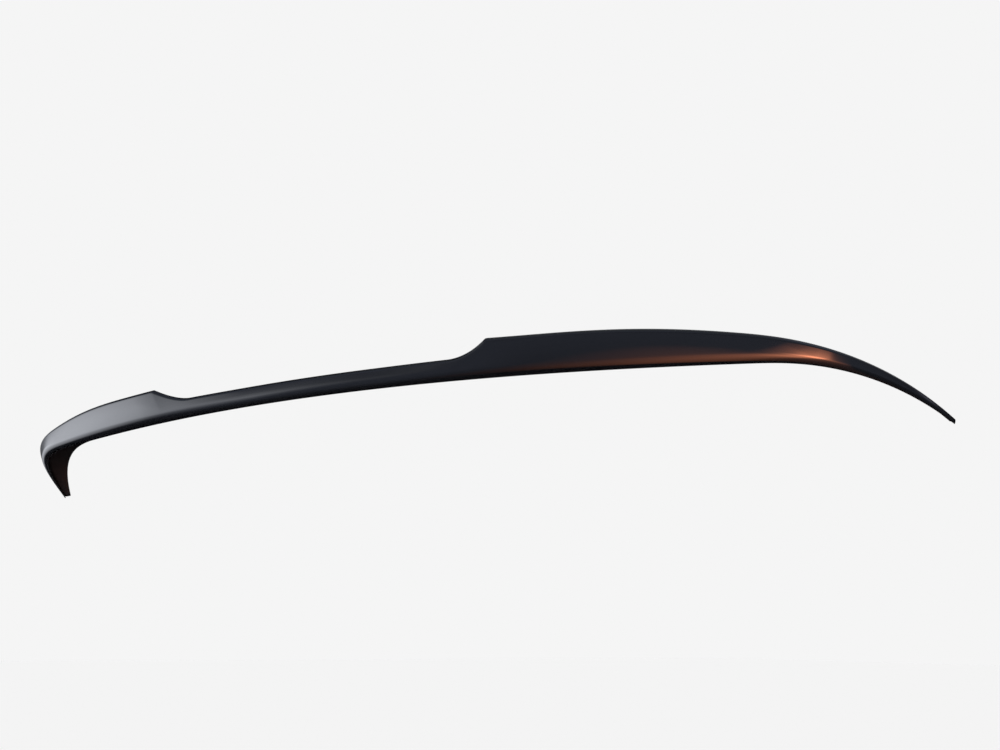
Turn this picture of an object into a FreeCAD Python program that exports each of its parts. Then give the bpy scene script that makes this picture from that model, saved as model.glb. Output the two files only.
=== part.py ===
import FreeCAD, Part
import math
import os
import Sketcher
from FreeCAD import Placement, Rotation, Vector

# Spoiler extension: one thermoformed lip that caps the trailing edge of a hatchback's roof spoiler.
# Millimetres and degrees. X runs across the car, Y forward and Z up. The origin is on the mid-plane,
# at the lower rear corner of the section, where the lip meets the spoiler's trailing edge.
# One wall section is drawn at stations along the edge and lofted from the mid-plane to the tip,
# then mirrored. Stations are lengths along the edge from the mid-plane.

SIZES = {
    # The path of the lower rear edge, one half
    "edge_length": 633.5,
    "crown_angle": 7.0,
    "corner_start": 481.5,
    "corner_run": 198.0,
    "corner_angle": 67.8,
    "arch_angle": 4.2,
    "droop_start": 479.5,
    "droop_run": 213.5,
    "droop_angle": 39.0,
    # The crest line: a low centre, a step up to each winglet's peak, a taper to the tip
    "centre_height": 15.2,
    "peak_height": 27.1,
    "shoulder_height": 24.4,
    "flank_height": 32.9,
    "corner_height": 10.1,
    "tip_height": 3.0,
    "peak_offset": 243.3,
    "step_run": 53.7,
    # How far the rear face leans back, in degrees
    "centre_lean_angle": 10.5,
    "wing_lean_angle": 30.8,
    "tip_lean_angle": 8.2,
    "twist_run": 200.0,
    "twist_past": 40.0,
    # The wall section and its tip values
    "wall": 3.2,
    "tip_wall": 1.2,
    "roll_reach": 9.0,
    "tip_reach": 1.5,
    "crest_land": 3.2,
    "tip_land": 0.8,
    "crest_angle": 46.0,
    "depth": 52.0,
    "tip_depth": 8.0,
    "seat_height": 11.0,
    "tip_seat": 1.5,
    "host_angle": 7.5,
    "tip_host_angle": 16.0,
}

# Exponents of the step's hollow curve, of the taper to the tip and of the lean's fade
STEP_EASE = 1.8
TAPER_EASE = 3
LEAN_EASE = 2

# Evenly spaced spans of the plain centre, of the step and of the winglet
CENTRE_SPAN_COUNT = 6
STEP_SPAN_COUNT = 6
WING_SPAN_COUNT = 14

PATH_STEP_COUNT = 240

doc = FreeCAD.newDocument("SpoilerExtension")


def make_sheet():
    """The driving sizes, one named cell each."""
    table = doc.addObject("Spreadsheet::Sheet", "Sizes")
    for row, (name, value) in enumerate(SIZES.items(), start=1):
        table.set(f"A{row}", name)
        table.set(f"B{row}", str(value))
        table.setAlias(f"B{row}", name)
    doc.recompute()
    return table


sizes = make_sheet()


def smooth_step(share):
    """0 to 1 with level ends, held outside that range."""
    share = min(max(share, 0.0), 1.0)
    return share * share * (3.0 - 2.0 * share)


def heading(station):
    """Plan angle of the edge: an even crown and a turn round the corner."""
    corner = smooth_step((station - sizes.corner_start) / sizes.corner_run)
    return sizes.crown_angle * station / sizes.edge_length + sizes.corner_angle * corner


def dip(station):
    """Downward angle of the edge: an even arch and a droop towards the tip."""
    droop = smooth_step((station - sizes.droop_start) / sizes.droop_run)
    return sizes.arch_angle * station / sizes.edge_length + sizes.droop_angle * droop


def edge_point(station):
    """Point of the edge, summed along its heading and dip from the mid-plane."""
    point = Vector(0, 0, 0)
    step = station / PATH_STEP_COUNT
    for index in range(PATH_STEP_COUNT):
        middle = (index + 0.5) * step
        turn = math.radians(heading(middle))
        down = math.radians(dip(middle))
        level = step * math.cos(down)
        point += Vector(level * math.cos(turn), level * math.sin(turn), -step * math.sin(down))
    return point


def wing_share(station):
    """0 up to the peak, then 1 at the tip."""
    return max(0.0, (station - sizes.peak_offset) / (sizes.edge_length - sizes.peak_offset))


def faded(full, tip, station):
    """Expression of a size that keeps its full value to the peak and tapers to its tip value."""
    share = 1.0 - wing_share(station) ** TAPER_EASE
    return f"Sizes.{tip} + (Sizes.{full} - Sizes.{tip}) * {share:.6f}"


def height(station):
    """Expression of the crest height: level centre, hollow step, then a curve down to the tip."""
    foot = sizes.peak_offset - sizes.step_run
    rise = min(max((station - foot) / sizes.step_run, 0.0), 1.0) ** STEP_EASE
    share = wing_share(station)
    rest = 1.0 - share
    names = ["peak_height", "shoulder_height", "flank_height", "corner_height", "tip_height"]
    order = len(names) - 1
    wing = " + ".join(
        f"{math.comb(order, index) * rest ** (order - index) * share ** index:.6f} * Sizes.{name}"
        for index, name in enumerate(names)
    )
    return f"{1.0 - rise:.6f} * Sizes.centre_height + {rise:.6f} * ({wing})"


def lean(station):
    """Expression of the rear face's lean: a long twist to past the peak, a fade towards the tip."""
    start = sizes.peak_offset + sizes.twist_past - sizes.twist_run
    twist = smooth_step((station - start) / sizes.twist_run)
    fade = wing_share(station) ** LEAN_EASE
    return (
        f"{1.0 - twist:.6f} * Sizes.centre_lean_angle + {twist - fade:.6f} * Sizes.wing_lean_angle"
        f" + {fade:.6f} * Sizes.tip_lean_angle"
    )


def host_slope(station):
    """Expression of the host surface's rise towards the front: even, then steeper round the corner."""
    corner = smooth_step((station - sizes.corner_start) / sizes.corner_run)
    return f"{1.0 - corner:.6f} * Sizes.host_angle + {corner:.6f} * Sizes.tip_host_angle"


def section_sizes(station):
    """Expression of each size of the wall section at a station."""
    return {
        "height": height(station),
        "lean": lean(station),
        "wall": faded("wall", "tip_wall", station),
        "reach": faded("roll_reach", "tip_reach", station),
        "land": faded("crest_land", "tip_land", station),
        "land_tilt": "Sizes.crest_angle",
        "depth": faded("depth", "tip_depth", station),
        "seat": faded("seat_height", "tip_seat", station),
        "slope": host_slope(station),
    }


def front_height(size):
    """Height of the front edge, which lies on the host's surface."""
    return size["seat"] + size["depth"] * math.tan(math.radians(size["slope"]))


def arc_between(centre, radius, start, end):
    """Arc of a circle from angle start anticlockwise to angle end, in radians."""
    circle = Part.Circle(Vector(centre.x, centre.y, 0), Vector(0, 0, 1), radius)
    return Part.ArcOfCircle(circle, start, end)


def draw_section(sketch, size):
    """Draw the wall section with x forward and y up, then hold it by constraints.

    The rear face leans back through the sketch's origin. A blunt land at the crest joins it to the
    hollow ramp that runs forward to the front edge. At the bottom a roll turns it under, which
    starts at the same reach from the origin all along. The inner side keeps the wall's distance
    from the ramp, the face and the roll.
    """
    tilt = math.radians(size["lean"])
    up = Vector(-math.sin(tilt), math.cos(tilt), 0)
    inward = Vector(math.cos(tilt), math.sin(tilt), 0)
    roll_radius = size["reach"] * math.cos(tilt) / (1.0 - math.sin(tilt))
    roll_start = up * size["reach"]
    roll_centre = roll_start + inward * roll_radius
    land_tilt = math.radians(size["land_tilt"])
    land = Vector(math.sin(land_tilt), math.cos(land_tilt), 0) * size["land"]
    face_top = up * ((size["height"] - land.y) / math.cos(tilt))
    crest_top = face_top + land
    # The ramp's circle stands on the host's slope at the front edge and passes through the crest
    slope = math.radians(size["slope"])
    front = Vector(size["depth"], front_height(size), 0)
    front_up = Vector(-math.sin(slope), math.cos(slope), 0)
    reach = crest_top - front
    ramp_radius = reach.dot(reach) / (2.0 * reach.dot(front_up))
    ramp_centre = front + front_up * ramp_radius
    to_crest = crest_top - ramp_centre
    ramp_end = math.atan2(to_crest.y, to_crest.x)
    ramp_start = math.atan2(-front_up.y, -front_up.x)
    # The inner corner, where the inner face meets the inner ramp
    inner_foot = inward * size["wall"]
    inner_radius = ramp_radius + size["wall"]
    from_centre = inner_foot - ramp_centre
    along = from_centre.dot(up)
    climb = -along - math.sqrt(along ** 2 - from_centre.dot(from_centre) + inner_radius ** 2)
    inner_corner = inner_foot + up * climb
    to_corner = inner_corner - ramp_centre
    face_angle = math.pi + tilt
    inner_roll = roll_radius - size["wall"]

    edges = [
        Part.LineSegment(front - front_up * size["wall"], front),
        arc_between(ramp_centre, ramp_radius, ramp_end, ramp_start),
        Part.LineSegment(face_top, crest_top),
        Part.LineSegment(roll_start, face_top),
        arc_between(roll_centre, roll_radius, face_angle, 1.5 * math.pi),
        Part.LineSegment(Vector(roll_centre.x, 0, 0), Vector(roll_centre.x, size["wall"], 0)),
        arc_between(roll_centre, inner_roll, face_angle, 1.5 * math.pi),
        Part.LineSegment(roll_start + inner_foot, inner_corner),
        arc_between(ramp_centre, inner_radius, math.atan2(to_corner.y, to_corner.x), ramp_start),
    ]
    sketch.addGeometry(edges, False)
    hold_section(sketch, size)


def hold_section(sketch, size):
    """Join the section's edges, keep its tangents and name the sizes that drive it."""
    front, ramp, crest, face, roll, bottom, inner_roll, inner_face, inner_ramp = range(9)
    start, end, centre = 1, 2, 3
    x_axis = origin = -1
    sketch.addConstraint([
        Sketcher.Constraint("Coincident", front, end, ramp, end),
        Sketcher.Constraint("Coincident", ramp, start, crest, end),
        Sketcher.Constraint("Coincident", crest, start, face, end),
        Sketcher.Constraint("Tangent", face, start, roll, start),
        Sketcher.Constraint("Coincident", roll, end, bottom, start),
        Sketcher.Constraint("Coincident", bottom, end, inner_roll, end),
        Sketcher.Constraint("Tangent", inner_roll, start, inner_face, start),
        Sketcher.Constraint("Coincident", inner_face, end, inner_ramp, start),
        Sketcher.Constraint("Coincident", inner_ramp, end, front, start),
        Sketcher.Constraint("Parallel", face, inner_face),
        Sketcher.Constraint("Coincident", roll, centre, inner_roll, centre),
        Sketcher.Constraint("Coincident", ramp, centre, inner_ramp, centre),
        Sketcher.Constraint("PointOnObject", ramp, centre, front),
        Sketcher.Constraint("PointOnObject", roll, centre, bottom),
        Sketcher.Constraint("Vertical", bottom),
        Sketcher.Constraint("PointOnObject", roll, end, x_axis),
        Sketcher.Constraint("PointOnObject", origin, start, face),
    ])
    upright = math.pi / 2
    named = {
        "land": Sketcher.Constraint("Distance", crest, size["land"]),
        "land_angle": Sketcher.Constraint("Angle", crest, upright - math.radians(size["land_tilt"])),
        "reach": Sketcher.Constraint("Distance", origin, start, face, start, size["reach"]),
        "wall": Sketcher.Constraint("DistanceY", bottom, start, bottom, end, size["wall"]),
        "front_wall": Sketcher.Constraint("Distance", front, size["wall"]),
        "crest_level": Sketcher.Constraint("DistanceY", origin, start, crest, end, size["height"]),
        "face_angle": Sketcher.Constraint("Angle", face, upright + math.radians(size["lean"])),
        "depth": Sketcher.Constraint("DistanceX", origin, start, front, end, size["depth"]),
        "front": Sketcher.Constraint("DistanceY", origin, start, front, end, front_height(size)),
        "front_angle": Sketcher.Constraint("Angle", front, upright + math.radians(size["slope"])),
    }
    for name, constraint in named.items():
        sketch.renameConstraint(sketch.addConstraint(constraint), name)


def bind_section(sketch, formula):
    """Bind the section's named sizes to the sheet."""
    sketch.setExpression("Constraints.land", formula["land"])
    sketch.setExpression("Constraints.land_angle", f"90 - {formula['land_tilt']}")
    sketch.setExpression("Constraints.reach", formula["reach"])
    sketch.setExpression("Constraints.wall", formula["wall"])
    sketch.setExpression("Constraints.front_wall", formula["wall"])
    sketch.setExpression("Constraints.crest_level", formula["height"])
    sketch.setExpression("Constraints.face_angle", f"90 + {formula['lean']}")
    sketch.setExpression("Constraints.depth", formula["depth"])
    rise = f"({formula['depth']}) * tan(({formula['slope']}) * 1 deg)"
    sketch.setExpression("Constraints.front", f"{formula['seat']} + {rise}")
    sketch.setExpression("Constraints.front_angle", f"90 + {formula['slope']}")


def origin_plane(body, role):
    """One of a body's own origin planes."""
    return next(plane for plane in body.Origin.OriginFeatures if plane.Role == role)


def add_section(body, name, station):
    """A section sketch that stands upright across the edge at a station."""
    sketch = body.newObject("Sketcher::SketchObject", name)
    sketch.AttachmentSupport = [(origin_plane(body, "YZ_Plane"), "")]
    sketch.MapMode = "FlatFace"
    place = edge_point(station)
    turn = Rotation(Vector(0, 1, 0), heading(station))
    sketch.AttachmentOffset = Placement(Vector(place.y, place.z, place.x), turn)
    formula = section_sizes(station)
    size = {name: sketch.evalExpression(text) for name, text in formula.items()}
    draw_section(sketch, size)
    bind_section(sketch, formula)
    return sketch


def add_loft(body, name, sections):
    """A smooth loft of the wall through its sections."""
    loft = body.newObject("PartDesign::AdditiveLoft", name)
    loft.Profile = sections[0]
    loft.Sections = [(section, [""]) for section in sections[1:]]
    loft.Ruled = False
    return loft


def add_run(body, name, start, end, spans):
    """One lofted run of the lip, through sections evenly spaced from start to end."""
    stations = [start + (end - start) * index / spans for index in range(spans + 1)]
    sections = [add_section(body, f"{name}Section{index}", s) for index, s in enumerate(stations)]
    doc.recompute()
    return add_loft(body, name, sections)


def make_lip():
    """The lip: a plain centre, a step up to the peak, a winglet to the tip, and their mirror image."""
    body = doc.addObject("PartDesign::Body", "Lip")
    body.Label = "spoiler_extension"
    foot = sizes.peak_offset - sizes.step_run
    runs = [
        add_run(body, "Centre", 0.0, foot, CENTRE_SPAN_COUNT),
        add_run(body, "Step", foot, sizes.peak_offset, STEP_SPAN_COUNT),
        add_run(body, "Winglet", sizes.peak_offset, sizes.edge_length, WING_SPAN_COUNT),
    ]
    doc.recompute()
    mirror = body.newObject("PartDesign::Mirrored", "OtherHalf")
    mirror.Originals = runs
    mirror.MirrorPlane = (origin_plane(body, "YZ_Plane"), [""])
    body.Tip = mirror
    doc.recompute()
    return body


def check_document(parts):
    """Stop if any object failed or a part's shape is missing or unsound."""
    for item in doc.Objects:
        if {"Invalid", "Error"} & set(item.State):
            raise RuntimeError(f"{item.Label} failed: {item.State}")
    for part in parts:
        if part.Shape.isNull() or not part.Shape.isValid():
            raise RuntimeError(f"{part.Label} has no sound shape")


lip = make_lip()
check_document([lip])
os.makedirs("parts", exist_ok=True)
lip.Shape.exportStep(f"parts/{lip.Label}.step")
box = lip.Shape.BoundBox
print(f"{lip.Label}: {len(lip.Shape.Solids)} solid, {lip.Shape.Volume / 1000:.1f} cm3,",
      f"{box.XLength:.1f} x {box.YLength:.1f} x {box.ZLength:.1f} mm")
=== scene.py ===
import math

import bpy
import numpy as np
from mathutils import Matrix, Vector


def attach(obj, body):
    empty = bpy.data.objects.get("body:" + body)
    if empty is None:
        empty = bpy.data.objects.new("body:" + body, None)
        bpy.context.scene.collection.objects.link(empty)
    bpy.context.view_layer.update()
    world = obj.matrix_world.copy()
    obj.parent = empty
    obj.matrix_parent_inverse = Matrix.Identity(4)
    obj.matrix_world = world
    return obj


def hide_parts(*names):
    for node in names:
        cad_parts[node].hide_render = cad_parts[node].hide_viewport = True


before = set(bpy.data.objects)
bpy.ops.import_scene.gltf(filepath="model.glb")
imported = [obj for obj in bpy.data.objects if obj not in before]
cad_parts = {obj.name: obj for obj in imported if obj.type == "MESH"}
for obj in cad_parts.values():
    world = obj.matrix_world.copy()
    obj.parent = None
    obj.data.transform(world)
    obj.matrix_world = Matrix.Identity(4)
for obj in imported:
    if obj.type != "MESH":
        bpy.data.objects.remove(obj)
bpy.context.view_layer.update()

# Spoiler extension: the finished skin of the one-piece lip, its gloss black material and a pale studio.
# Sizes are in millimetres and degrees until the mesh is made. X runs across, Y forward and Z up.
# Stations are lengths along the lower rear edge, from the mid-plane.

MM = 0.001

# The path of the lower rear edge, one half
EDGE_LENGTH = 633.5
CROWN_ANGLE = 7.0
CORNER_START = 481.5
CORNER_RUN = 198.0
CORNER_ANGLE = 67.8
ARCH_ANGLE = 4.2
DROOP_START = 479.5
DROOP_RUN = 213.5
DROOP_ANGLE = 39.0

# The crest line: a low centre, a step up to each winglet's peak, a taper to the tip
CENTRE_HEIGHT = 15.2
PEAK_HEIGHT = 27.1
SHOULDER_HEIGHT = 24.4
FLANK_HEIGHT = 32.9
CORNER_HEIGHT = 10.1
TIP_HEIGHT = 3.0
PEAK_OFFSET = 243.3
STEP_RUN = 53.7
STEP_EASE = 1.8
PEAK_ROUND = 2.0

# How far the rear face leans back
CENTRE_LEAN = 10.5
WING_LEAN = 30.8
TIP_LEAN = 8.2
TWIST_RUN = 200.0
TWIST_PAST = 40.0

# The wall section, full values and values at the tip
WALL = (3.2, 1.2)
ROLL_REACH = (9.0, 1.5)
CREST_LAND = (3.2, 0.8)
DEPTH = (52.0, 8.0)
SEAT_HEIGHT = (11.0, 1.5)
CREST_ANGLE = 46.0

# The rise of the host's surface towards the front, at the centre and at the tip
HOST_ANGLE = (7.5, 16.0)

# The moulded softness of the face, of the edges and of the inner corner, as a share of the inner face
FACE_RADIUS = 140.0
EDGE_ROUND = (0.55, 0.2)
INNER_ROUND_SHARE = 0.4

# Samples along one half, over the peak's round and round the section
HALF_STATIONS = 301
PEAK_SAMPLES = 15
RAMP_SAMPLES = 24
CREST_SAMPLES = 5
FACE_SAMPLES = 14
ROLL_SAMPLES = 16
TRIM_SAMPLES = 4


def smooth_step(share):
    """0 to 1 with level ends: 3 share squared less 2 share cubed, held outside that range."""
    share = np.clip(share, 0.0, 1.0)
    return share * share * (3.0 - 2.0 * share)


def edge_path(stations):
    """Points of the lower rear edge and the level direction across it, pointing forward.

    The heading is an even crown plus a smooth turn round the corner, the dip an even arch plus a
    smooth droop, and the points are the running sum of the direction they give.
    """
    turn = CROWN_ANGLE * stations / EDGE_LENGTH
    turn = np.radians(turn + CORNER_ANGLE * smooth_step((stations - CORNER_START) / CORNER_RUN))
    dip = ARCH_ANGLE * stations / EDGE_LENGTH
    dip = np.radians(dip + DROOP_ANGLE * smooth_step((stations - DROOP_START) / DROOP_RUN))
    along = np.stack([np.cos(turn) * np.cos(dip), np.sin(turn) * np.cos(dip), -np.sin(dip)], axis=1)
    steps = (along[1:] + along[:-1]) / 2.0 * np.diff(stations)[:, None]
    points = np.concatenate([np.zeros((1, 3)), np.cumsum(steps, axis=0)])
    forward = np.stack([-np.sin(turn), np.cos(turn), np.zeros_like(turn)], axis=1)
    return points, forward


def wing_share(stations):
    """0 up to the peak, then evenly to 1 at the tip."""
    return np.clip((stations - PEAK_OFFSET) / (EDGE_LENGTH - PEAK_OFFSET), 0.0, 1.0)


def faded(pair, stations):
    """A full value that falls to its tip value with the cube of the winglet's share."""
    full, tip = pair
    return tip + (full - tip) * (1.0 - wing_share(stations) ** 3)


def sharp_height(stations):
    """Crest height: level, then a power curve up the step, then a Bezier curve down to the tip."""
    share = wing_share(stations)
    heights = (PEAK_HEIGHT, SHOULDER_HEIGHT, FLANK_HEIGHT, CORNER_HEIGHT, TIP_HEIGHT)
    order = len(heights) - 1
    wing = sum(
        math.comb(order, index) * (1.0 - share) ** (order - index) * share ** index * level
        for index, level in enumerate(heights)
    )
    rise = np.clip((stations - PEAK_OFFSET + STEP_RUN) / STEP_RUN, 0.0, 1.0) ** STEP_EASE
    return (1.0 - rise) * CENTRE_HEIGHT + rise * wing


def crest_height(stations):
    """The crest height averaged over a short length near the peak, which rounds its corner."""
    window = np.linspace(-0.5, 0.5, PEAK_SAMPLES) * PEAK_ROUND
    spread = np.clip(stations[:, None] + window, 0.0, EDGE_LENGTH)
    eased = sharp_height(spread).mean(axis=1)
    near = 1.0 - smooth_step(np.abs(stations - PEAK_OFFSET) / PEAK_ROUND - 1.0)
    return near * eased + (1.0 - near) * sharp_height(stations)


def face_lean(stations):
    """Lean of the rear face in radians: a long twist to past the peak, a fade towards the tip."""
    twist = smooth_step((stations - PEAK_OFFSET - TWIST_PAST + TWIST_RUN) / TWIST_RUN)
    fade = wing_share(stations) ** 2
    return np.radians((1.0 - twist) * CENTRE_LEAN + (twist - fade) * WING_LEAN + fade * TIP_LEAN)


def host_slope(stations):
    """Rise of the host's surface towards the front, in radians: even, then steeper round the corner."""
    centre, tip = HOST_ANGLE
    corner = smooth_step((stations - CORNER_START) / CORNER_RUN)
    return np.radians(centre + (tip - centre) * corner)


def direction(angle):
    """Unit vectors at the given angles."""
    return np.stack([np.cos(angle), np.sin(angle)], axis=-1)


def angle_of(vectors):
    """Angle of each vector, from 0 to a full turn."""
    return np.arctan2(vectors[..., 1], vectors[..., 0]) % (2.0 * math.pi)


def arc(centre, radius, start, end, count):
    """Points of each station's arc from angle start towards end, the end itself left out."""
    share = np.linspace(0.0, 1.0, count, endpoint=False)
    angle = start[:, None] + (end - start)[:, None] * share
    return centre[:, None] + radius[:, None, None] * direction(angle)


def bend(start, corner, end, count):
    """Quadratic Bezier from start by corner towards end, the end itself left out."""
    share = np.linspace(0.0, 1.0, count, endpoint=False)[None, :, None]
    first = (1.0 - share) ** 2 * start[:, None]
    return first + 2.0 * share * (1.0 - share) * corner[:, None] + share ** 2 * end[:, None]


def toward(point, target, run):
    """The point that lies a run from one point on the way to another."""
    way = target - point
    return point + way * (run / np.linalg.norm(way, axis=1))[:, None]


def section(stations):
    """Closed outline of the wall at each station, x forward and y up, and its finish masks.

    Outside: a hollow circular ramp from the front edge to the crest, a blunt land, a face that is part
    of a very large circle, and a roll that the face runs into without a kink. Inside: the same roll
    and ramp set in by the wall, joined by a straight inner face. All edges are slightly rounded.
    """
    tilt = face_lean(stations)
    wall = faded(WALL, stations)
    reach = faded(ROLL_REACH, stations)
    land = faded(CREST_LAND, stations)
    soft = faded(EDGE_ROUND, stations)
    up = np.stack([-np.sin(tilt), np.cos(tilt)], axis=1)
    inward = np.stack([np.cos(tilt), np.sin(tilt)], axis=1)
    # The roll starts at the same reach up the face all along
    roll = reach * np.cos(tilt) / (1.0 - np.sin(tilt))
    roll_start = up * reach[:, None]
    roll_centre = roll_start + inward * roll[:, None]
    # The crest's land between the top of the face and the top of the ramp
    land_way = np.array([math.sin(math.radians(CREST_ANGLE)), math.cos(math.radians(CREST_ANGLE))])
    face_top = up * ((crest_height(stations) - land * land_way[1]) / np.cos(tilt))[:, None]
    crest_top = face_top + land[:, None] * land_way
    # The ramp's circle stands on the host's slope at the front edge
    slope = host_slope(stations)
    depth = faded(DEPTH, stations)
    front = np.stack([depth, faded(SEAT_HEIGHT, stations) + depth * np.tan(slope)], axis=1)
    front_up = np.stack([-np.sin(slope), np.cos(slope)], axis=1)
    rise = crest_top - front
    ramp = (rise * rise).sum(axis=1) / (2.0 * (rise * front_up).sum(axis=1))
    ramp_centre = front + ramp[:, None] * front_up
    ramp_start = 1.5 * math.pi + slope
    ramp_end = angle_of(crest_top - ramp_centre)
    # The face's large circle passes through the top of the face and touches the roll from outside
    span = face_top - roll_centre
    reach_to_top = np.linalg.norm(span, axis=1)
    large = FACE_RADIUS
    shift = (reach_to_top ** 2 + (large - roll) ** 2 - large ** 2) / (2.0 * reach_to_top)
    aside = np.sqrt((large - roll) ** 2 - shift ** 2)
    span = span / reach_to_top[:, None]
    across = np.stack([span[:, 1], -span[:, 0]], axis=1)
    face_centre = roll_centre + span * shift[:, None] + across * aside[:, None]
    face_start = angle_of(face_top - face_centre)
    face_end = angle_of(roll_centre - face_centre)
    face_size = np.full_like(tilt, large)
    # The inner corner, where the inner face meets the inner ramp
    inner_foot = inward * wall[:, None]
    offset = inner_foot - ramp_centre
    along = (offset * up).sum(axis=1)
    climb = -along - np.sqrt(along ** 2 - (offset * offset).sum(axis=1) + (ramp + wall) ** 2)
    inner_corner = inner_foot + up * climb[:, None]
    inner_start = inner_foot + roll_start
    inner_end = angle_of(inner_corner - ramp_centre)
    inner_soft = np.minimum(wall, INNER_ROUND_SHARE * (climb - reach))
    inner_bend = inner_corner - up * inner_soft[:, None]
    bottom = np.full_like(tilt, 1.5 * math.pi)
    floor_point = np.stack([roll_centre[:, 0], np.zeros_like(tilt)], axis=1)
    lift = np.stack([np.zeros_like(tilt), wall], axis=1)
    front_in = front - wall[:, None] * front_up

    # Where each small edge round begins and ends
    ramp_first = ramp_start - soft / ramp
    ramp_last = ramp_end + soft / ramp
    crest_first = ramp_centre + ramp[:, None] * direction(ramp_last)
    crest_middle = (crest_top + face_top) / 2.0
    face_first = face_start + soft / large
    crest_last = face_centre + large * direction(face_first)
    roll_last = bottom - soft / roll
    inner_roll = roll - wall
    inner_last = bottom - soft / inner_roll
    inner_ramp = ramp + wall
    inner_ramp_first = inner_end + inner_soft / inner_ramp
    inner_ramp_last = ramp_start - soft / inner_ramp
    outer_edge = roll_centre + roll[:, None] * direction(roll_last)
    inner_edge = roll_centre + inner_roll[:, None] * direction(inner_last)
    front_outer = ramp_centre + ramp[:, None] * direction(ramp_first)
    front_inner = ramp_centre + inner_ramp[:, None] * direction(inner_ramp_last)
    straight = np.linspace(0.0, 1.0, FACE_SAMPLES, endpoint=False)[None, :, None]

    outside = [
        arc(ramp_centre, ramp, ramp_first, ramp_last, RAMP_SAMPLES),
        bend(crest_first, crest_top, crest_middle, CREST_SAMPLES),
        bend(crest_middle, face_top, crest_last, CREST_SAMPLES),
        arc(face_centre, face_size, face_first, face_end, FACE_SAMPLES),
        arc(roll_centre, roll, face_end, roll_last, ROLL_SAMPLES),
    ]
    bottom_trim = [
        bend(outer_edge, floor_point, toward(floor_point, floor_point + lift, soft), TRIM_SAMPLES),
        bend(toward(floor_point + lift, floor_point, soft), floor_point + lift, inner_edge, TRIM_SAMPLES),
    ]
    inside = [
        arc(roll_centre, inner_roll, inner_last, math.pi + tilt, ROLL_SAMPLES),
        inner_start[:, None] + (inner_bend - inner_start)[:, None] * straight,
        bend(
            inner_bend,
            inner_corner,
            ramp_centre + inner_ramp[:, None] * direction(inner_ramp_first),
            2 * CREST_SAMPLES,
        ),
        arc(ramp_centre, inner_ramp, inner_ramp_first, inner_ramp_last, RAMP_SAMPLES),
    ]
    front_trim = [
        bend(front_inner, front_in, toward(front_in, front, soft), TRIM_SAMPLES),
        bend(toward(front, front_in, soft), front, front_outer, TRIM_SAMPLES),
    ]
    outline = np.concatenate(outside + bottom_trim + inside + front_trim, axis=1)
    skin_count = RAMP_SAMPLES + 2 * CREST_SAMPLES + FACE_SAMPLES + ROLL_SAMPLES
    trim_count = 2 * TRIM_SAMPLES
    inside_mask = np.repeat([0.0, 0.5, 1.0, 0.5], [skin_count, trim_count, skin_count, trim_count])
    trim_mask = np.repeat([0.0, 1.0, 0.0, 1.0], [skin_count, trim_count, skin_count, trim_count])
    return outline, inside_mask, trim_mask


def lip_rings():
    """Rings of the whole lip from tip to tip: the section carried along the edge and its mirror image."""
    stations = np.linspace(0.0, EDGE_LENGTH, HALF_STATIONS)
    points, forward = edge_path(stations)
    outline, inside_mask, trim_mask = section(stations)
    upward = np.array([0.0, 0.0, 1.0])
    rings = points[:, None] + outline[..., 0:1] * forward[:, None] + outline[..., 1:2] * upward
    mirrored = rings[:0:-1] * np.array([-1.0, 1.0, 1.0])
    return np.concatenate([mirrored, rings]) * MM, inside_mask, trim_mask


def ring_faces(ring_count, ring_size):
    """Quads between neighbouring rings, closed round the section."""
    ring, place = np.meshgrid(np.arange(ring_count - 1), np.arange(ring_size), indexing="ij")
    after = (place + 1) % ring_size
    corners = [ring * ring_size + place, ring * ring_size + after]
    corners += [(ring + 1) * ring_size + after, (ring + 1) * ring_size + place]
    return np.stack([corner.ravel() for corner in corners], axis=1)


def tip_faces(ring_size):
    """Quads that close one tip, each from outside to inside across the wall."""
    trim_half = TRIM_SAMPLES
    last_inside = ring_size - 2 * trim_half - 1
    first = np.arange(-trim_half, (ring_size - 4 * trim_half) // 2 + trim_half - 1)
    quads = np.stack([first, first + 1, last_inside - 1 - first, last_inside - first], axis=1)
    return quads % ring_size


def make_lip():
    """The lip as one closed mesh, with its inside and its trimmed edges marked for the material."""
    rings, inside_mask, trim_mask = lip_rings()
    ring_count, ring_size, _ = rings.shape
    first_tip = tip_faces(ring_size)
    last_tip = first_tip[:, ::-1] + (ring_count - 1) * ring_size
    sides = ring_faces(ring_count, ring_size)[:, ::-1]
    faces = np.concatenate([sides, first_tip, last_tip])
    mesh = bpy.data.meshes.new("spoiler_lip")
    mesh.from_pydata(rings.reshape(-1, 3), [], faces.tolist())
    flat = np.zeros(len(faces), dtype=bool)
    flat[len(sides):] = True
    mesh.polygons.foreach_set("use_smooth", ~flat)
    for name, mask in (("inside", inside_mask), ("trim", trim_mask)):
        layer = mesh.attributes.new(name, "FLOAT", "POINT")
        layer.data.foreach_set("value", np.tile(mask, ring_count).astype(np.float32))
    mesh.update()
    lip = bpy.data.objects.new("spoiler_lip", mesh)
    bpy.context.collection.objects.link(lip)
    return lip


def node(tree, kind, place, **values):
    """A shader node of a kind at a place, with its inputs or properties set by name."""
    made = tree.nodes.new(kind)
    made.location = place
    for name, value in values.items():
        if name in made.inputs:
            made.inputs[name].default_value = value
        else:
            setattr(made, name, value)
    return made


# The finish: two near blacks that the outside drifts between, the trimmed edges, polish and satin
BLACKS = ((0.0034, 0.0034, 0.0040, 1.0), (0.0052, 0.0052, 0.0060, 1.0))
TRIM_GREY = (0.016, 0.016, 0.017, 1.0)
POLISH_ROUGHNESS = (0.035, 0.075)
SATIN_ROUGHNESS = 0.32
GRAIN_SHARE = 2.0


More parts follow.
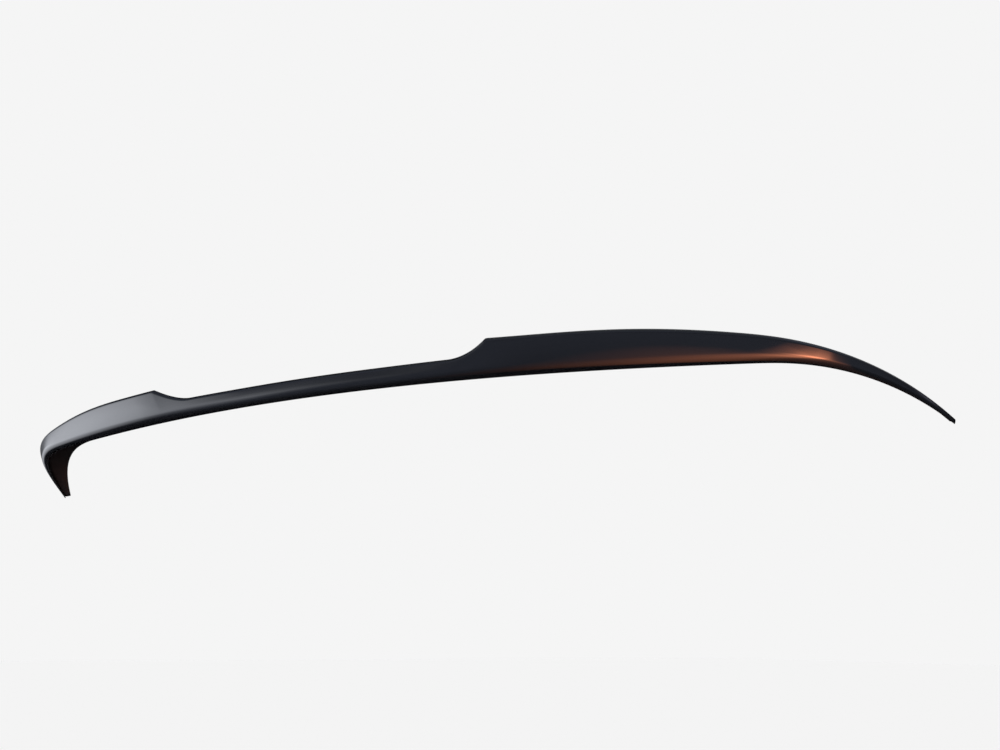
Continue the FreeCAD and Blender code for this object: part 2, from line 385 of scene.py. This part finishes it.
def gloss_black():
    """Gloss black moulded plastic: a polished outside, a satin grained inside and greyer trimmed edges."""
    material = bpy.data.materials.new("gloss_black")
    material.use_nodes = True
    tree = material.node_tree
    link = tree.links.new
    shader = tree.nodes["Principled BSDF"]
    shader.inputs["IOR"].default_value = 1.5
    shader.inputs["Specular IOR Level"].default_value = 0.5
    place = node(tree, "ShaderNodeTexCoord", (-1200, 0))
    inside = node(tree, "ShaderNodeAttribute", (-1200, 300), attribute_name="inside")
    trim = node(tree, "ShaderNodeAttribute", (-1200, 500), attribute_name="trim")

    # Colour: near black that drifts a little, a shade greyer on the trimmed edges
    flow = node(tree, "ShaderNodeTexNoise", (-1000, 700), Scale=9.0, Detail=3.0, Roughness=0.5)
    tint = node(tree, "ShaderNodeMix", (-600, 700), data_type="RGBA")
    tint.inputs["A"].default_value, tint.inputs["B"].default_value = BLACKS
    cut = node(tree, "ShaderNodeMix", (-400, 600), data_type="RGBA")
    cut.inputs["B"].default_value = TRIM_GREY
    link(place.outputs["Object"], flow.inputs["Vector"])
    link(flow.outputs["Fac"], tint.inputs["Factor"])
    link(tint.outputs["Result"], cut.inputs["A"])
    link(trim.outputs["Fac"], cut.inputs["Factor"])
    link(cut.outputs["Result"], shader.inputs["Base Color"])

    # Roughness: polish that drifts a little over the outside, satin inside
    haze = node(tree, "ShaderNodeTexNoise", (-1000, 300), Scale=22.0, Detail=4.0, Roughness=0.6)
    polish = node(tree, "ShaderNodeMapRange", (-800, 300))
    polish.inputs["To Min"].default_value, polish.inputs["To Max"].default_value = POLISH_ROUGHNESS
    satin = node(tree, "ShaderNodeMix", (-400, 300))
    satin.inputs["B"].default_value = SATIN_ROUGHNESS
    link(place.outputs["Object"], haze.inputs["Vector"])
    link(haze.outputs["Fac"], polish.inputs["Value"])
    link(polish.outputs["Result"], satin.inputs["A"])
    link(inside.outputs["Fac"], satin.inputs["Factor"])
    link(satin.outputs["Result"], shader.inputs["Roughness"])

    # Relief: a faint long ripple outside, a fine grain inside
    ripple = node(tree, "ShaderNodeTexNoise", (-1000, -100), Scale=45.0, Detail=1.0)
    grain = node(tree, "ShaderNodeTexVoronoi", (-1000, -350), Scale=900.0)
    depth = node(tree, "ShaderNodeMix", (-600, -200))
    grain_share = node(tree, "ShaderNodeMath", (-800, -350), operation="MULTIPLY")
    grain_share.inputs[1].default_value = GRAIN_SHARE
    bump = node(tree, "ShaderNodeBump", (-400, -200), Strength=0.25, Distance=0.00004)
    link(place.outputs["Object"], ripple.inputs["Vector"])
    link(place.outputs["Object"], grain.inputs["Vector"])
    link(grain.outputs["Distance"], grain_share.inputs[0])
    link(inside.outputs["Fac"], depth.inputs["Factor"])
    link(ripple.outputs["Fac"], depth.inputs["A"])
    link(grain_share.outputs["Value"], depth.inputs["B"])
    link(depth.outputs["Result"], bump.inputs["Height"])
    link(bump.outputs["Normal"], shader.inputs["Normal"])
    return material


# The studio, in metres. Levels are pairs of a place from 0 to 1 and a share of the peak brightness.
FLOOR_LEVEL = -0.9
FLOOR_SIZE = 60.0
FLOOR_COLOUR = (0.99, 0.99, 0.99, 1.0)
BACKDROP = (0.913, 0.913, 0.913, 1.0)

# The dim surround that the gloss sees, from below to overhead and from behind to in front
SURROUND_TINT = (0.64, 0.73, 1.0, 1.0)
SURROUND_PEAK = 2.9
SURROUND_BY_HEIGHT = (
    (0.0, 0.03), (0.15, 0.08), (0.28, 0.165), (0.4, 0.1), (0.55, 0.2), (0.75, 0.2), (0.9, 0.2), (1.0, 1.0)
)
SURROUND_BY_DEPTH = ((0.0, 1.0), (0.25, 0.65), (0.4, 0.42), (0.55, 0.08), (0.7, 0.01), (1.0, 0.05))

# The soft cards that the gloss sees: a bell for the plain ones, and how the light of the left card
# and of the warm card rises and falls across and along them
BELL_WIDTH = 0.19
BELL_PLACES = 9
LEFT_ACROSS = (
    (0.0, 0.0), (0.08, 0.43), (0.17, 0.69), (0.25, 1.0), (0.35, 0.81),
    (0.46, 0.6), (0.6, 0.31), (0.8, 0.09), (1.0, 0.0)
)
LEFT_ALONG = (
    (0.0, 0.0), (0.1, 0.12), (0.2, 0.49), (0.31, 0.84), (0.44, 1.0), (0.56, 0.15), (0.75, 0.08), (1.0, 0.0)
)
WARM_ACROSS = (
    (0.0, 0.0), (0.21, 0.13), (0.31, 0.32), (0.42, 0.6), (0.51, 0.92),
    (0.59, 1.0), (0.66, 0.6), (0.75, 0.17), (1.0, 0.0)
)
WARM_ALONG = (
    (0.0, 0.0), (0.14, 0.15), (0.27, 0.5), (0.36, 0.95), (0.41, 0.95),
    (0.5, 0.42), (0.61, 0.28), (0.73, 0.1), (1.0, 0.0)
)

# The overhead lamp: size, place and power in watts
LAMP_SIZE = (1.8, 0.7)
LAMP_PLACE = (-0.3, 0.7, 1.5)
LAMP_POWER = 14.0


def level_curve(tree, place, levels):
    """A soft curve through a few levels, each a pair of where and how much."""
    made = node(tree, "ShaderNodeFloatCurve", place)
    curve = made.mapping.curves[0]
    while len(curve.points) < len(levels):
        curve.points.new(0.5, 0.5)
    for point, level in zip(curve.points, levels):
        point.location = level
        point.handle_type = "AUTO_CLAMPED"
    made.mapping.update()
    return made


def make_world():
    """A plain pale surround, with a dim studio in its place for what the gloss reflects.

    The reflected studio's brightness is a level by height, dark below and bright overhead, times a
    level by depth, which fades to black in front of the part.
    """
    world = bpy.data.worlds.new("studio")
    bpy.context.scene.world = world
    world.use_nodes = True
    tree = world.node_tree
    tree.nodes.clear()
    link = tree.links.new
    way = node(tree, "ShaderNodeTexCoord", (-1200, 0))
    parts = node(tree, "ShaderNodeSeparateXYZ", (-1000, 0))
    link(way.outputs["Generated"], parts.inputs["Vector"])
    product = node(tree, "ShaderNodeMath", (-200, 0), operation="MULTIPLY")
    for row, (axis, levels) in enumerate((("Z", SURROUND_BY_HEIGHT), ("Y", SURROUND_BY_DEPTH))):
        share = node(tree, "ShaderNodeMapRange", (-800, -300 * row))
        share.inputs["From Min"].default_value = -1.0
        curve = level_curve(tree, (-500, -300 * row), levels)
        link(parts.outputs[axis], share.inputs["Value"])
        link(share.outputs["Result"], curve.inputs["Value"])
        link(curve.outputs["Value"], product.inputs[row])
    strength = node(tree, "ShaderNodeMath", (0, 0), operation="MULTIPLY")
    strength.inputs[1].default_value = SURROUND_PEAK
    ray = node(tree, "ShaderNodeLightPath", (200, 400))
    pale = node(tree, "ShaderNodeBackground", (200, 200), Color=BACKDROP)
    dim = node(tree, "ShaderNodeBackground", (200, 0), Color=SURROUND_TINT)
    mix = node(tree, "ShaderNodeMixShader", (400, 100))
    out = node(tree, "ShaderNodeOutputWorld", (600, 100))
    link(product.outputs["Value"], strength.inputs[0])
    link(strength.outputs["Value"], dim.inputs["Strength"])
    link(ray.outputs["Is Glossy Ray"], mix.inputs["Fac"])
    link(pale.outputs["Background"], mix.inputs[1])
    link(dim.outputs["Background"], mix.inputs[2])
    link(mix.outputs["Shader"], out.inputs["Surface"])


def stage_sheet(name, corner, across, along, material):
    """A flat four-cornered sheet of the stage, with its own 0 to 1 UV map."""
    corner, across, along = Vector(corner), Vector(across), Vector(along)
    mesh = bpy.data.meshes.new(name)
    places = [corner, corner + across, corner + across + along, corner + along]
    mesh.from_pydata([tuple(place) for place in places], [], [(0, 1, 2, 3)])
    layer = mesh.uv_layers.new(name="sheet")
    layer.data.foreach_set("uv", [0, 0, 1, 0, 1, 1, 0, 1])
    mesh.materials.append(material)
    sheet = bpy.data.objects.new(name, mesh)
    bpy.context.collection.objects.link(sheet)
    return sheet


def seen_in_gloss_only(sheet):
    """The sheet shows in reflections and neither lights, shades nor stands in view."""
    sheet.visible_camera = False
    sheet.visible_diffuse = False
    sheet.visible_shadow = False


def make_floor():
    """The plain pale floor, kept out of the gloss."""
    material = bpy.data.materials.new("pale_floor")
    material.use_nodes = True
    shader = material.node_tree.nodes["Principled BSDF"]
    shader.inputs["Base Color"].default_value = FLOOR_COLOUR
    shader.inputs["Specular IOR Level"].default_value = 0.0
    shader.inputs["Roughness"].default_value = 0.9
    half = FLOOR_SIZE / 2.0
    floor = stage_sheet(
        "floor", (-half, -half, FLOOR_LEVEL), (FLOOR_SIZE, 0, 0), (0, FLOOR_SIZE, 0), material
    )
    floor.visible_glossy = False


def soft_light(name, colour, peak, across_levels, along_levels):
    """Light of a soft card: peak brightness times one level curve across and one along the card."""
    material = bpy.data.materials.new(name)
    material.use_nodes = True
    tree = material.node_tree
    tree.nodes.clear()
    link = tree.links.new
    place = node(tree, "ShaderNodeUVMap", (-1000, 0), uv_map="sheet")
    parts = node(tree, "ShaderNodeSeparateXYZ", (-800, 0))
    link(place.outputs["UV"], parts.inputs["Vector"])
    power = node(tree, "ShaderNodeMath", (-200, 0), operation="MULTIPLY")
    for row, (axis, levels) in enumerate((("X", across_levels), ("Y", along_levels))):
        ramp = level_curve(tree, (-600, -300 * row), levels)
        link(parts.outputs[axis], ramp.inputs["Value"])
        link(ramp.outputs["Value"], power.inputs[row])
    strength = node(tree, "ShaderNodeMath", (0, 0), operation="MULTIPLY")
    strength.inputs[1].default_value = peak
    glow = node(tree, "ShaderNodeEmission", (200, 0), Color=(*colour, 1.0))
    clear = node(tree, "ShaderNodeBsdfTransparent", (200, 200))
    both = node(tree, "ShaderNodeAddShader", (400, 100))
    out = node(tree, "ShaderNodeOutputMaterial", (600, 100))
    link(power.outputs["Value"], strength.inputs[0])
    link(strength.outputs["Value"], glow.inputs["Strength"])
    link(glow.outputs["Emission"], both.inputs[0])
    link(clear.outputs["BSDF"], both.inputs[1])
    link(both.outputs["Shader"], out.inputs["Surface"])
    return material


def bell():
    """Levels of a soft bell over 0 to 1: a normal curve, one in the middle and nothing at both ends."""
    places = np.linspace(0.0, 1.0, BELL_PLACES)
    heights = np.exp(-0.5 * ((places - 0.5) / BELL_WIDTH) ** 2)
    heights[[0, -1]] = 0.0
    return tuple(zip(places, heights))


def make_cards():
    """Soft cards seen in the gloss: at the left, low and warm behind, at the right tip and overhead."""
    left = soft_light("left_light", (0.9, 0.93, 1.0), 2.84, LEFT_ACROSS, LEFT_ALONG)
    warm = soft_light("warm_light", (1.0, 0.326, 0.161), 29.0, WARM_ACROSS, WARM_ALONG)
    cool = soft_light("tip_light", (0.8, 0.78, 1.0), 2.5, bell(), bell())
    sky = soft_light("sky_light", (0.9, 0.95, 1.0), 1.6, bell(), bell())
    cards = (
        stage_sheet("left_card", (-1.2, -0.06, -0.64), (0, -1.3, 0), (0, 0.64, 1.04), left),
        stage_sheet("warm_card", (-0.067, -2.441, -0.85), (1.0, 0.392, 0), (-1.02, 2.607, 0), warm),
        stage_sheet("tip_card", (2.1, -1.25, -0.75), (0.36, 0.68, 0), (0, 0, 0.76), cool),
        stage_sheet("sky_card", (-2.5, -0.4, 1.6), (5.0, 0, 0), (0, 3.2, 0), sky),
    )
    for card in cards:
        seen_in_gloss_only(card)


def make_key_light():
    """A large soft lamp overhead, kept out of the gloss."""
    lamp = bpy.data.lights.new("overhead_softbox", "AREA")
    lamp.shape = "RECTANGLE"
    lamp.size, lamp.size_y = LAMP_SIZE
    lamp.energy = LAMP_POWER
    light = bpy.data.objects.new("overhead_softbox", lamp)
    light.location = LAMP_PLACE
    light.visible_glossy = False
    light.rotation_euler = (-light.location).to_track_quat("-Z", "Y").to_euler()
    bpy.context.collection.objects.link(light)


# The camera: focal length in pixels of the 1000 pixel wide picture, angles in degrees
IMAGE_WIDTH = 1000.0
FOCAL_PIXELS = 2133.2
CAMERA_HEADING = 51.57
CAMERA_PITCH = 6.56
CAMERA_ROLL = 0.55
CAMERA_DISTANCE = 1.7455
ORIGIN_ACROSS = -193.1
ORIGIN_UP = -20.9


def make_camera():
    """A camera behind, to the right and below, looking up at the lip.

    The heading, pitch and roll give its axes, and its place is the one from which the origin stands
    at the given distance and at the given pixels from the middle of the picture.
    """
    heading = math.radians(CAMERA_HEADING)
    pitch = math.radians(CAMERA_PITCH)
    roll = math.radians(CAMERA_ROLL)
    level = Vector((math.cos(heading), math.sin(heading), 0.0))
    onward = Vector((-math.sin(heading), math.cos(heading), 0.0))
    ahead = onward * math.cos(pitch) + Vector((0.0, 0.0, math.sin(pitch)))
    upright = level.cross(ahead)
    right = level * math.cos(roll) + upright * math.sin(roll)
    up = upright * math.cos(roll) - level * math.sin(roll)
    scale = CAMERA_DISTANCE / FOCAL_PIXELS
    place = -(right * ORIGIN_ACROSS * scale + up * ORIGIN_UP * scale + ahead * CAMERA_DISTANCE)
    lens = bpy.data.cameras.new("camera")
    lens.sensor_fit = "HORIZONTAL"
    lens.sensor_width = 36.0
    lens.lens = FOCAL_PIXELS / IMAGE_WIDTH * lens.sensor_width
    camera = bpy.data.objects.new("camera", lens)
    axes = Matrix((right, up, -ahead)).transposed().to_4x4()
    camera.matrix_world = Matrix.Translation(place) @ axes
    bpy.context.collection.objects.link(camera)
    bpy.context.scene.camera = camera


lip = make_lip()
lip.data.materials.append(gloss_black())
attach(lip, "root")
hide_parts("spoiler_extension")
make_world()
make_floor()
make_cards()
make_key_light()
make_camera()
bpy.context.scene.view_settings.view_transform = "Standard"
